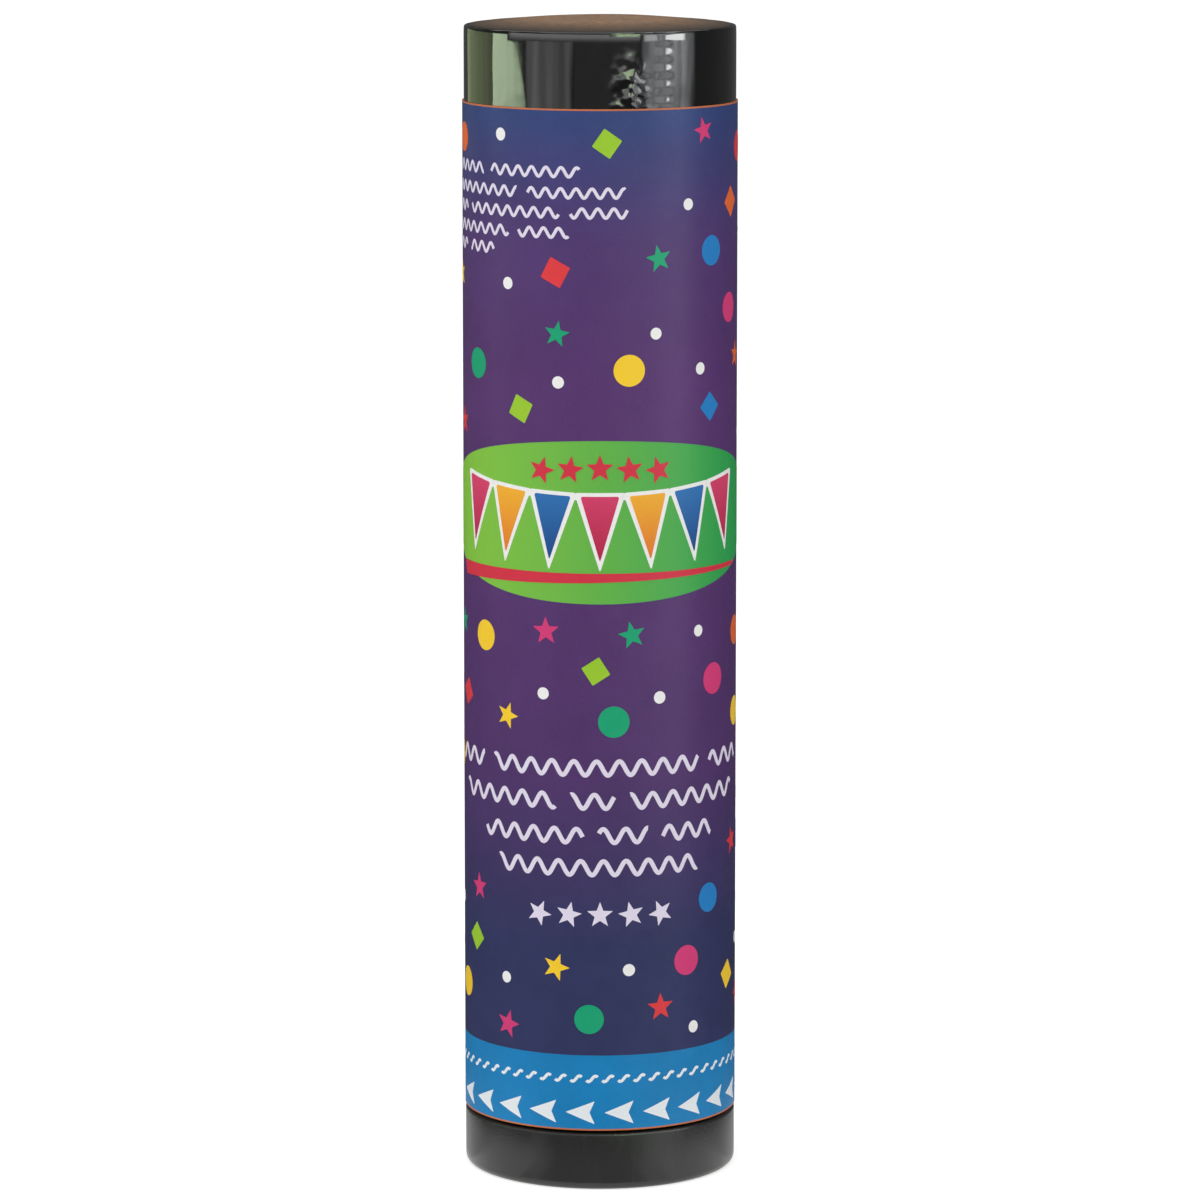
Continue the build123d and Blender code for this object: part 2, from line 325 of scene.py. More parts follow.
def ink_finish(name):
    """The finish of a printing ink, and the mottle of the paper that shows through it."""
    finish = Finish(f"{name} ink", {"Specular IOR Level": 0.2})
    mottle = finish.grain(5200.0, 2.0)
    finish.rough(finish.grain(900.0), 0.34, 0.48)
    finish.bump(mottle, 0.006 * MM)
    return finish, mottle


def printed_ink(name, colour, foot=None):
    """A flat of printing ink, or for the badge's flags a run from a foot colour upwards."""
    finish, mottle = ink_finish(name)
    ground = finish.tinted(mottle, colour, 0.93, 1.05)
    if foot:
        low, high = (BADGE_HEIGHT - 3) * MM, (BADGE_HEIGHT + 3) * MM
        run = finish.spread(finish.axes()[2], low, high, 0.0, 1.0)
        ground = finish.mix(run, finish.tinted(mottle, foot, 0.93, 1.05), ground)
    finish.feed("Base Color", ground)
    return finish.material


def badge_ink(colours, half_width):
    """The oval's ground, which runs from lime on the left to green on the right."""
    finish, mottle = ink_finish("badge")
    run = finish.spread(finish.axes()[0], -half_width, half_width, 0.0, 1.0)
    finish.feed("Base Color", finish.mix(run + (mottle - 0.5) * 0.08, colours.badge_left, colours.badge_right))
    return finish.material


def kraft_paper(colours, edge):
    """Brown kraft paper with long fibres and specks, and painted shade that darkens it towards its glued edge."""
    finish = Finish("kraft cover", {"Specular IOR Level": 0.3})
    fibre = finish.grain(1500.0, 6.0, 0.65, finish.stretched((1.0, 0.35, 1.0)))
    speck = finish.grain(3800.0, 1.0) > 0.66
    right, back, _ = finish.axes()
    reach = (right * right + back * back).math("SQRT")
    ground = finish.tinted(finish.levels(fibre, 0.0, 1.0), colours.kraft, 0.74, 1.22)
    ground = finish.mix(speck * 0.5, ground, ink("5a4631"))
    # painted shade: the cover turns dark grey-brown towards its edge, where the rolled rim shades it
    ground = finish.mix(finish.spread(reach, edge * 0.52, edge, 0.0, 0.94), ground, ink("35312e"))
    finish.feed("Base Color", ground)
    finish.rough(fibre, 0.62, 0.82)
    finish.bump(fibre + finish.grain(300.0, 2.0) * 1.5, 0.06 * MM)
    return finish.material


def chipboard(colours):
    """Grey-brown board in spiral plies."""
    finish = Finish("chipboard", {"Specular IOR Level": 0.25})
    right, back, up = finish.axes()
    ply_rise = 38 * MM
    ply = (up / ply_rise + back.math("ARCTAN2", right) / math.tau).math("FRACT")
    seam = (ply < 0.018) + (ply > 0.982)
    fibre = finish.grain(2200.0, 5.0, 0.7)
    ground = finish.tinted(finish.levels(fibre, 0.0, 1.0), colours.board, 0.75, 1.2)
    finish.feed("Base Color", finish.mix(seam * 0.6, ground, ink("5d4b37")))
    finish.rough(fibre, 0.75, 0.92)
    finish.bump(fibre - seam * 0.8, 0.05 * MM)
    return finish.material


def moulding(name, colour, roughness):
    """Moulded plastic with a fine spark-eroded skin."""
    finish = Finish(name, {"IOR": 1.54})
    skin = finish.grain(4200.0, 2.0)
    flow = finish.grain(220.0, 3.0, 0.5, finish.stretched((1.0, 1.0, 0.2)))
    finish.feed("Base Color", finish.tinted(finish.levels(flow, 0.0, 1.0), colour, 0.86, 1.12))
    finish.rough(flow, roughness - 0.06, roughness + 0.08)
    finish.bump(skin + flow * 0.6, 0.02 * MM)
    return finish.material


def spring_steel(colours):
    """Bright drawn wire with fine die lines and a trace of oil."""
    finish = Finish("spring steel", {"Metallic": 1.0})
    drawn = finish.grain(2600.0, 4.0, 0.6, finish.stretched((0.25, 0.25, 3.0)))
    finish.feed("Base Color", finish.tinted(drawn, colours.steel, 0.8, 1.08))
    finish.rough(drawn, 0.18, 0.36)
    finish.bump(drawn, 0.012 * MM)
    return finish.material


def coloured_paper(name, colour):
    """Thin dyed paper with visible fibres."""
    finish = Finish(f"{name} paper", {"Specular IOR Level": 0.3})
    fibre = finish.grain(1900.0, 5.0, 0.65)
    finish.feed("Base Color", finish.tinted(finish.levels(fibre, 0.0, 1.0), colour, 0.84, 1.08))
    finish.rough(fibre, 0.52, 0.74)
    finish.bump(fibre, 0.04 * MM)
    return finish.material


def clamped(value):
    return min(1.0, max(0.0, value))


def just_added(name):
    """The piece that an operator has just added, under its name."""
    piece = bpy.context.object
    piece.name = piece.data.name = name
    return piece


def pick(*pieces):
    """Selects these pieces alone and makes the first one active."""
    bpy.ops.object.select_all(action="DESELECT")
    for piece in pieces:
        piece.select_set(True)
    bpy.context.view_layer.objects.active = pieces[0]


def select_mesh():
    bpy.ops.mesh.select_all(action="SELECT")


def open_mesh(piece):
    pick(piece)
    bpy.ops.object.mode_set(mode="EDIT")
    bpy.ops.mesh.select_mode(type="VERT")
    select_mesh()


def close_mesh(outwards=False):
    """Leaves the mesh, with all its faces turned outwards if asked."""
    if outwards:
        select_mesh()
        bpy.ops.mesh.normals_make_consistent(inside=False)
    bpy.ops.object.mode_set(mode="OBJECT")


def settle(piece):
    """Puts a piece's place, turn and scale into its mesh."""
    pick(piece)
    bpy.ops.object.transform_apply(location=True, rotation=True, scale=True)


def joined(name, pieces):
    pick(*pieces)
    if len(pieces) > 1:
        bpy.ops.object.join()
    return just_added(name)


def apply_modifier(piece, kind, **settings):
    pick(piece)
    modifier = piece.modifiers.new(kind.title(), kind)
    for key, value in settings.items():
        setattr(modifier, key, value)
    bpy.ops.object.modifier_apply(modifier=modifier.name)


def face_outwards(piece):
    open_mesh(piece)
    bpy.ops.mesh.remove_doubles(threshold=WELD)
    close_mesh(outwards=True)


def coat(piece, material):
    piece.data.materials.clear()
    piece.data.materials.append(material)


def dress(piece, body, material, sharp=40.0):
    pick(piece)
    bpy.ops.object.shade_smooth_by_angle(angle=math.radians(sharp))
    coat(piece, material)
    if body:
        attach(piece, body)


def turned(name, points, steps, sweep=math.tau, start=0.0, capped=True):
    """Spins a line of (radius, height) points anticlockwise round the barrel's axis."""
    bpy.ops.mesh.primitive_plane_add(size=MM)
    piece = just_added(name)
    open_mesh(piece)
    bpy.ops.mesh.merge(type="CENTER")
    here = None
    for radius, height in points:
        there = Vector((radius * math.cos(start), radius * math.sin(start), height))
        if here is None:
            bpy.ops.transform.translate(value=there)
        else:
            bpy.ops.mesh.extrude_region_move(TRANSFORM_OT_translate={"value": there - here})
        here = there
    select_mesh()
    bpy.ops.mesh.remove_doubles(threshold=WELD)
    bpy.ops.mesh.spin(steps=steps, angle=-sweep, center=(0, 0, 0), axis=(0, 0, 1))
    select_mesh()
    bpy.ops.mesh.remove_doubles(threshold=WELD)
    if capped and sweep < math.tau:
        bpy.ops.mesh.fill_holes(sides=0)
    close_mesh(outwards=True)
    return piece


def rounding(centre, radius, first, last, count):
    """Points on an arc of a profile, by its centre, radius and angles in degrees."""
    turns = [math.radians(first + (last - first) * step / count) for step in range(count + 1)]
    return [(centre[0] + radius * math.cos(turn), centre[1] + radius * math.sin(turn)) for turn in turns]


def flat_outline(name, places, corner=0.0):
    """A flat shape from its outline in millimetres, anticlockwise, with its corners rounded."""
    bpy.ops.mesh.primitive_circle_add(vertices=len(places), radius=MM, fill_type="NGON")
    piece = just_added(name)
    for vertex, (across, up) in zip(piece.data.vertices, places):
        vertex.co = (across * MM, up * MM, 0)
    if corner:
        open_mesh(piece)
        bpy.ops.mesh.bevel(offset=corner * MM, segments=3, affect="VERTICES")
        close_mesh()
    return piece


def ring_places(count, radius, inner=None):
    """Places round a circle from its top, every second one drawn in where an inner radius is given."""
    places = []
    for number in range(count):
        reach = inner if inner and number % 2 else radius
        turn = math.radians(90 + 360 * number / count)
        places.append((reach * math.cos(turn), reach * math.sin(turn)))
    return places


def flat_ribbon(name, span, width, rise):
    """A flat strip of even width along a line whose height over each place is given by rise."""
    column, nearby = 0.1, 0.01
    bpy.ops.mesh.primitive_grid_add(x_subdivisions=max(8, round(span / column)), y_subdivisions=1, size=1)
    piece = just_added(name)
    for vertex in piece.data.vertices:
        across = vertex.co.x * span
        slope = (rise(across + nearby) - rise(across - nearby)) / (2 * nearby)
        aside = Vector((-slope, 1.0)).normalized() * vertex.co.y * width
        vertex.co = ((across + aside.x) * MM, (rise(across) + aside.y) * MM, 0)
    return piece


def copies_of(template, places):
    """Copies of a piece at the places given as matrices, each with a mesh of its own."""
    copies = []
    for place in places:
        copy = template.copy()
        copy.data = template.data.copy()
        copy.data.transform(place)
        bpy.context.scene.collection.objects.link(copy)
        copies.append(copy)
    bpy.data.objects.remove(template)
    return copies


def laid_out(template, spots):
    """Copies of a flat shape at (across, up, turn, size) spots."""
    places = []
    for across, up, turn, size in spots:
        here = Matrix.Translation((across * MM, up * MM, 0))
        places.append(here @ Matrix.Rotation(math.radians(turn), 4, "Z") @ Matrix.Scale(size, 4))
    return copies_of(template, places)


def wrapped(piece, radius, proud):
    """Slices flat artwork upright, gives it thickness and bends it round the barrel."""
    sunk = 0.01 * MM
    across = [vertex.co.x for vertex in piece.data.vertices]
    open_mesh(piece)
    for line in range(math.ceil(min(across) / MM), math.floor(max(across) / MM) + 1):
        select_mesh()
        bpy.ops.mesh.bisect(plane_co=(line * MM, 0, 0), plane_no=(1, 0, 0), threshold=1e-7)
    close_mesh()
    apply_modifier(piece, "SOLIDIFY", thickness=proud + sunk, offset=1.0)
    piece.rotation_euler = (math.pi / 2, 0, 0)
    piece.location = (0, sunk, 0)
    settle(piece)
    across = [vertex.co.x for vertex in piece.data.vertices]
    bend = (max(across) - min(across)) / radius
    apply_modifier(piece, "SIMPLE_DEFORM", deform_method="BEND", deform_axis="Z", angle=bend)
    piece.location = (0, -radius, 0)
    settle(piece)
    face_outwards(piece)
    return piece


def printed(name, flats, sizes, layers, material):
    """Joins flat artwork, bends it round the label as the topmost of some layers of ink, and dresses it."""
    piece = wrapped(joined(name, flats), sizes.label_radius, layers * sizes.ink_proud)
    dress(piece, "barrel", material)


def printed_round(name, rows, sizes, material):
    """Prints flat artwork all round: on the label's sheet, and on its lap, which lies a paper higher."""
    parts = []
    for layer, flats in rows.items():
        reach = sizes.label_radius + (sizes.label_paper if layer == "lap" else 0)
        parts.append(wrapped(joined(f"{name}_{layer}", flats), reach, sizes.ink_proud))
    dress(joined(name, parts), "barrel", material)


def label_edges(sizes):
    """The way from the front to the label's back, and the place of the lap's edge, in millimetres."""
    half_way = math.pi * (sizes.label_radius / MM)
    return half_way, -half_way + sizes.lap_width / MM


class POPPER_OT_barrel_wrap(bpy.types.Operator):
    """Models the gloss black paper that is turned in over the mouth, with a small crumple and a ribbed crease"""

    bl_idname = "popper.barrel_wrap"
    bl_label = "Barrel wrap"

    def folds(self, spot, foot):
        """How far the crumple and the ribs of the crease lift the paper at a spot, in millimetres."""
        crumple_rise, rib_rise, rib_pitch = 0.135, 0.0077, 1.45
        x, y, z = spot / MM
        off_crumple = math.hypot(2 * (x - 2.6), 2 * (y + 12.2), z - 101.2)
        crumple = clamped((5.0 - off_crumple) / 4.5) ** 2 * clamped((z - foot / MM + 0.3) / 0.6)
        off_crease = math.hypot(x - 5.8, y + 11.1)
        ribs = clamped((1.1 - off_crease) / 0.9) * math.sin(z * math.tau / rib_pitch)
        grain = noise.noise(spot * 900) + noise.noise(spot * 1800) * 0.5
        return (grain * 1.3 + 0.7) * crumple * crumple_rise + ribs * rib_rise

    def execute(self, context):
        sizes = context.scene.popper_sizes
        outside, wall = wrap_high_corner.x, tube_high_corner.x
        paper = outside - wall
        low, top = wrap_low_corner.z, wrap_high_corner.z
        wall_top = top - paper
        bore, tuck = wall - 1.2 * MM, wall_top - 6 * MM
        fold, edge, lip = 0.2 * MM, 0.1 * MM, sizes.lip_rise
        start, rows = sizes.label_high - 1.5 * MM, 54
        points = [(wall, low), (outside, low)]
        points += [(outside, start + (top + lip - fold - start) * row / rows) for row in range(rows)]
        points += rounding((outside - fold, top + lip - fold), fold, 0, 170, 12)
        points += [(outside - 2 * fold, top), (bore - paper + fold, top)]
        points += rounding((bore - paper + fold, top - fold), fold, 100, 180, 5)
        points += [(bore - paper, tuck), (bore, tuck), (bore, wall_top - edge), (bore + edge, wall_top)]
        points += [(wall - edge, wall_top), (wall, wall_top - edge), points[0]]
        piece = turned("gloss_wrap", points, 3 * sizes.turning_steps)
        shoulder, ruck_depth, roll_depth = 0.8 * MM, 0.035, 0.022
        for vertex in piece.data.vertices:
            spot = vertex.co
            reach = math.hypot(spot.x, spot.y)
            share = clamped((spot.z - start) / (2 * MM))
            if reach > outside - 0.05 * MM and share:
                ruck = noise.noise(Vector((spot.x, spot.y, spot.z * 0.08)) * 300) * 0.7
                ruck += noise.noise(Vector((spot.x, spot.y, spot.z * 0.2)) * 850) * 0.2
                roll = max(0.0, (spot.z - top + shoulder) / shoulder) ** 2
                lift = ruck * share * ruck_depth - roll * roll_depth + self.folds(spot, sizes.label_high)
                pull = 1 + lift * MM / reach
                vertex.co = (spot.x * pull, spot.y * pull, spot.z)
        dress(piece, "barrel", gloss_paper(context.scene.popper_colours))
        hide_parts("barrel_wrap")
        return {"FINISHED"}


class POPPER_OT_label(bpy.types.Operator):
    """Models the printed label with its lap at the back"""

    bl_idname = "popper.label"
    bl_label = "Label"

    def execute(self, context):
        sizes = context.scene.popper_sizes
        outside, paper = sizes.label_radius, sizes.label_paper
        low, high = sizes.label_low, sizes.label_high

        def section(inner, outer):
            return [(inner, low), (outer, low), (outer, high), (inner, high), (inner, low)]

        sheet = turned("printed_label", section(outside - paper, outside), sizes.turning_steps)
        lap_turn = sizes.lap_width / outside
        flap = turned("label_flap", section(outside, outside + paper), 24, lap_turn, math.pi / 2)
        sunk, thin_end, ramp = 0.01 * MM, 0.04, 0.08
        for vertex in flap.data.vertices:
            spot = vertex.co
            reach = math.hypot(spot.x, spot.y)
            share = min(1.0, thin_end + (math.atan2(spot.y, spot.x) - math.pi / 2) / lap_turn / ramp)
            wanted = outside - sunk + (reach - outside + sunk) * share
            vertex.co = (spot.x * wanted / reach, spot.y * wanted / reach, spot.z)
        piece = joined("printed_label", [sheet, flap])
        dress(piece, "barrel", label_paper(context.scene.popper_colours, sizes))
        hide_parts("label")
        return {"FINISHED"}


class POPPER_OT_printed_confetti(bpy.types.Operator):
    """Prints dots, discs, stars and diamonds: the front laid out as listed, the rest a seeded scatter"""

    bl_idname = "popper.printed_confetti"
    bl_label = "Printed confetti"

    def kept_clear(self, across, up):
        badge = (across / 25.5) ** 2 + ((up - BADGE_HEIGHT) / 10.2) ** 2 < 1
        rows = abs(across) < 19.5 and 28.4 < up < 42.0
        notes = -22.5 < across < 4.5 and 85.4 < up < 96.4
        return badge or rows or notes or abs(across) < 16.6

    def execute(self, context):
        sizes = context.scene.popper_sizes
        half_way, lap_edge = label_edges(sizes)
        low, high, clear_of_edges, neighbourhood = 15.2, 98.2, 1.7, 10.0
        dice = random.Random(23)
        # Each kind's share of the shapes, its colours, its outline and the rounding of its corners.
        kinds = {
            "dot": (1.25, ["white"], ring_places(16, 0.57), 0.0),
            "disc": (1.0, ["green", "yellow", "blue", "pink", "orange", "red"], ring_places(32, 1.43), 0.0),
            "star": (1.05, ["green", "pink", "yellow", "red", "orange"], ring_places(10, 1.3, 0.54), 0.05),
            "diamond": (0.8, ["lime", "red", "blue", "orange"], ring_places(4, 1.42), 0.1),
        }
        spots, taken = {}, []

        def put(across, up, kind, colour):
            taken.append((across, up, kind, colour))
            layer = "lap" if across < lap_edge else "sheet"
            shape = (across, up, dice.uniform(-20, 20), dice.uniform(0.95, 1.05))
            spots.setdefault(colour, {}).setdefault(layer, {}).setdefault(kind, []).append(shape)

        def room(spot):
            """How far a place is from the shapes already printed."""
            gaps = [math.hypot((spot[0] - x + half_way) % (2 * half_way) - half_way, spot[1] - y) for x, y, *_ in taken]
            return min(gaps, default=half_way)

        for name, places in FRONT_CONFETTI.items():
            colour, kind = name.split()
            for share, up in places:
                put(sizes.label_radius / MM * math.asin(share), up, kind, colour)
        while len(taken) < sizes.confetti_count:
            tries = [(dice.uniform(-half_way, half_way), dice.uniform(low, high)) for _ in range(40)]
            tries = [spot for spot in tries if not self.kept_clear(*spot)]
            tries = [spot for spot in tries if min(abs(spot[0] - lap_edge), half_way - abs(spot[0])) > clear_of_edges]
            if not tries:
                continue
            across, up = max(tries, key=room)
            near = [shape[2:] for shape in taken if math.hypot(across - shape[0], up - shape[1]) < neighbourhood]
            tally = {kind: sum(kind in shape for shape in near) / share for kind, (share, *_) in kinds.items()}
            kind = min(dice.sample(list(kinds), len(kinds)), key=tally.get)
            hues = kinds[kind][1]
            colour = min(dice.sample(hues, len(hues)), key=lambda hue: sum(hue in shape for shape in near))
            put(across, up, kind, colour)
        for colour, layers in spots.items():
            rows = {layer: [] for layer in layers}
            for layer, shapes in layers.items():
                for kind, places in shapes.items():
                    rows[layer] += laid_out(flat_outline(kind, *kinds[kind][2:]), places)
            material = printed_ink(colour, ink(PAPER_CODES[colour]))
            printed_round(f"printed_confetti_{colour}", rows, sizes, material)
        return {"FINISHED"}


class POPPER_OT_badge(bpy.types.Operator):
    """Prints the green oval with its bunting, stars and ribbon"""

    bl_idname = "popper.badge"
    bl_label = "Badge"

    def execute(self, context):
        sizes, colours = context.scene.popper_sizes, context.scene.popper_colours
        oval = flat_outline("oval", [(22.0 * x, 7.5 * y) for x, y in ring_places(120, 1.0)])
        ground = laid_out(oval, [(0, BADGE_HEIGHT, 0, 1)])
        printed("badge_oval", ground, sizes, 1, badge_ink(colours, sizes.label_radius))
        places = [-13.35 + 4.45 * number for number in range(7)]
        string_reach, string_sag = 15, 1.2

        def string_height(across):
            return BADGE_HEIGHT + 2.3 + string_sag * (across / string_reach) ** 2

        def hung(flag, places):
            slopes = [2 * string_sag * x / string_reach / string_reach for x in places]
            leaning = [math.degrees(math.atan(slope)) for slope in slopes]
            return laid_out(flag, [(x, string_height(x), lean, 1) for x, lean in zip(places, leaning)])

        back = flat_outline("pennant_back", [(0, -6.9), (2.35, 0.45), (-2.35, 0.45)], 0.3)
        backs = hung(back, places) + [flat_ribbon("string", 30.6, 0.5, string_height)]
        white = printed_ink("bunting white", ink(PAPER_CODES["white"]))
        printed("badge_bunting_white", backs, sizes, 2, white)
        runs = {"pink": ("d9406c", "b81f4a"), "orange": ("f7b52c", "e87a22"), "blue": ("2c74b8", "154a8c")}
        for offset, (colour, (head, foot)) in enumerate(runs.items()):
            flag = flat_outline("pennant", [(0, -5.9), (1.78, 0.1), (-1.78, 0.1)], 0.22)
            run = printed_ink(f"bunting {colour}", ink(head), ink(foot))
            printed(f"badge_bunting_{colour}", hung(flag, places[offset::3]), sizes, 3, run)
        star = flat_outline("badge_star", ring_places(10, 1.3, 0.55), 0.06)
        bow = [(2.75 * step, BADGE_HEIGHT + 4.95 - 0.12 * abs(step), 8 * step, 1) for step in range(-2, 3)]
        ribbon = flat_outline("ribbon", [(-16.5, -0.75), (16.0, 0.12), (16.5, 0.5), (-17.0, 0.55)], 0.1)
        reds = laid_out(star, bow) + laid_out(ribbon, [(0, BADGE_HEIGHT - 5.2, 0, 1)])
        printed("badge_stars_red", reds, sizes, 3, printed_ink("badge red", ink("d62f45")))
        return {"FINISHED"}


class POPPER_OT_squiggles(bpy.types.Operator):
    """Prints rows of paper-streamer squiggles and a row of small stars"""

    bl_idname = "popper.squiggles"
    bl_label = "Squiggles"

    def execute(self, context):
        sizes, colours = context.scene.popper_sizes, context.scene.popper_colours
        strips = []

        def row(up, left, spans, gap, height, wave, width):
            for number, span in enumerate(spans):
                strip = flat_ribbon(
                    "squiggle", span, width, lambda across: height / 2 * math.sin(math.tau * across / wave + number)
                )
                strips.extend(laid_out(strip, [(left + span / 2, up, 0, 1)]))
                left += span + gap

        large, small = (1.3, 2.1, 0.42), (0.85, 1.45, 0.3)
        row(39.7, -17.8, [5.2, 21.0, 5.6], 1.6, *large)
        row(36.6, -16.2, [12.0, 4.0, 13.0], 1.5, *large)
        row(33.4, -12.2, [10.6, 4.6, 5.8], 1.5, *large)
        row(30.4, -10.3, [20.2], 1.5, *large)
        row(94.3, -20.5, [8.0, 9.4], 1.2, *small)
        row(92.4, -20.5, [12.4, 9.2], 1.2, *small)
        row(90.6, -20.5, [4.6, 11.0, 5.2], 1.1, *small)
        row(88.8, -20.5, [11.4, 5.0], 1.2, *small)
        row(87.1, -20.5, [4.4, 4.0], 1.1, *small)
        star = flat_outline("row_star", ring_places(10, 1.25, 0.52), 0.05)
        strips += laid_out(star, [(2.9 * step, 26.0, 12 * step, 1) for step in range(-2, 3)])
        printed("printed_squiggles", strips, sizes, 1, printed_ink("lilac", colours.lilac))
        return {"FINISHED"}


class POPPER_OT_arrows(bpy.types.Operator):
    """Prints the arrows that show which way the base is twisted"""

    bl_idname = "popper.arrows"
    bl_label = "Arrows"

    def execute(self, context):
        sizes = context.scene.popper_sizes
        half_way, lap_edge = label_edges(sizes)

        def shared_out(count, up, clear):
            """Places in a row round the band, those on the lap apart from those on the sheet under it."""
            spots = {"sheet": [], "lap": []}
            for number in range(count):
                across = -half_way + (number + 0.5) * 2 * half_way / count
                if abs(across - lap_edge) > clear:
                    spots["lap" if across < lap_edge else "sheet"].append((across, up, 0, 1))
            return spots

        arrows, dashes = shared_out(sizes.arrow_count, 7.4, 1.45), shared_out(54, 10.6, 0.75)
        rows = {}
        for layer in arrows:
            arrow = flat_outline("arrow", [(-1.4, 0.0), (1.32, -1.08), (0.84, 0.0), (1.32, 1.08)], 0.08)
            dash = flat_ribbon("dash", 1.05, 0.28, lambda across: 0.27 * math.sin(across * 4.8))
            rows[layer] = laid_out(arrow, arrows[layer]) + laid_out(dash, dashes[layer])
        printed_round("printed_arrows", rows, sizes, printed_ink("arrow white", ink("eef3f6")))
        return {"FINISHED"}


class POPPER_OT_mouth_cover(bpy.types.Operator):
    """Models the shallow paper dome over the mouth"""

    bl_idname = "popper.mouth_cover"
    bl_label = "Mouth cover"

    def execute(self, context):
        sizes = context.scene.popper_sizes
        paper = 0.2 * MM
        rim, rise = cover_low_corner.z, cover_high_corner.z - cover_low_corner.z - paper
        edge = sizes.cover_radius
        crown = (edge ** 2 + rise ** 2) / (2 * rise)
        below = rim + rise - crown
        lean = math.degrees(math.asin((rim - below) / crown))
        outer = rounding((0, below), crown, lean, 90, 30)
        inner = [(reach * (1 - paper / edge), height - paper) for reach, height in outer]
        points = inner[::-1] + [(edge - paper / 2, rim - paper), (edge + 0.05 * MM, rim - paper / 2)] + outer
        piece = turned("paper_cover", points, sizes.turning_steps)
        ripples, ripple_rise, dent_rise = 23, 0.02, 0.06
        for vertex in piece.data.vertices:
            spot = vertex.co
            reach = math.hypot(spot.x, spot.y)
            dent = noise.noise(Vector((spot.x, spot.y, 0)) * 190) * (1 - (reach / edge) ** 4)
            ripple = math.sin(math.atan2(spot.y, spot.x) * ripples) * (reach / edge) ** 8 if reach < edge * 0.97 else 0
            vertex.co.z = spot.z + (dent * dent_rise + ripple * ripple_rise) * MM + paper
        dress(piece, "load", kraft_paper(context.scene.popper_colours, edge))
        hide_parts("mouth_cover")
        return {"FINISHED"}


class POPPER_OT_twist_base(bpy.types.Operator):
    """Models the moulded base: rounded knob, foot ring, snap spigot, hub and stop lug"""

    bl_idname = "popper.twist_base"
    bl_label = "Twist base"

    def execute(self, context):
        sizes = context.scene.popper_sizes
        lengths = (sizes.base_radius, sizes.base_height, sizes.base_round, bush_high_corner.x, base_high_corner.z)
        outside, height, corner, bush, hub_top = [size / MM for size in lengths]
        foot, skirt, floor, edge = outside - 1.9, outside - 1.5, 1.6, 0.25
        spigot, spigot_top, spigot_wall = bush - 1.35, height + 3.7, 1.2
        hub, bore, bore_floor = 4.2, 2.52, 4.2
        profile = [(0, 0.4), (foot - 0.15, 0.4), (foot, 0.25), (foot + 0.05, 0.06), (foot + 0.2, 0)]
        profile += rounding((outside - corner, corner), corner, -90, 0, 10)
        profile += rounding((outside - edge, height - edge), edge, 0, 90, 5)
        profile += [(skirt, height), (skirt, floor), (spigot, floor), (spigot, spigot_top - 1.0)]
        profile += [(spigot + 0.4, spigot_top - 0.6), (spigot + 0.45, spigot_top - 0.5)]
        profile += [(spigot + 0.4, spigot_top - 0.4), (spigot, spigot_top), (spigot - spigot_wall, spigot_top)]
        profile += [(spigot - spigot_wall, floor), (hub + 0.3, floor), (hub, floor + 0.3), (hub, hub_top - 0.2)]
        profile += [(hub - 0.2, hub_top), (bore, hub_top), (bore, bore_floor), (0, bore_floor)]
        knob = turned("twist_knob", [(reach * MM, rise * MM) for reach, rise in profile], sizes.turning_steps)
        lug_rise, lug_sunk = 1.3, 0.2
        bpy.ops.mesh.primitive_cube_add(size=MM)
        lug = just_added("stop_lug")
        lug.scale = (0.9, 3.4, lug_rise + lug_sunk)
        lug.location = Vector((spigot - 0.75, 0, spigot_top + (lug_rise - lug_sunk) / 2)) * MM
        settle(lug)
        open_mesh(lug)
        bpy.ops.mesh.bevel(offset=0.15 * MM, segments=3, affect="EDGES")
        close_mesh()
        piece = joined("twist_knob", [knob, lug])
        plastic = moulding("base plastic", context.scene.popper_colours.moulding_black, 0.25)
        dress(piece, "base", plastic)
        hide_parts("twist_base")
        return {"FINISHED"}


class POPPER_OT_launch_spring(bpy.types.Operator):
    """Winds the launch spring"""

    bl_idname = "popper.launch_spring"
    bl_label = "Launch spring"

    def execute(self, context):
        sizes = context.scene.popper_sizes
        wire, turns = sizes.spring_wire, sizes.spring_turns
        low, high = spring_low_corner.z, spring_high_corner.z
        start = (spring_high_corner.x - wire / 2, 0, low + wire / 2)
        bpy.ops.mesh.primitive_circle_add(vertices=14, radius=wire / 2, location=start, rotation=(math.pi / 2, 0, 0))
        piece = just_added("wound_spring")
        settle(piece)
        steps = round(56 * turns)
        apply_modifier(
            piece, "SCREW", angle=math.tau * turns, screw_offset=high - low - wire, steps=steps, render_steps=steps,
            axis="Z", use_smooth_shade=True,
        )
        open_mesh(piece)
        bpy.ops.mesh.fill_holes(sides=0)
        close_mesh(outwards=True)
        dress(piece, None, spring_steel(context.scene.popper_colours), 50.0)
        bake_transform(piece)
        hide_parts("launch_spring")
        return {"FINISHED"}


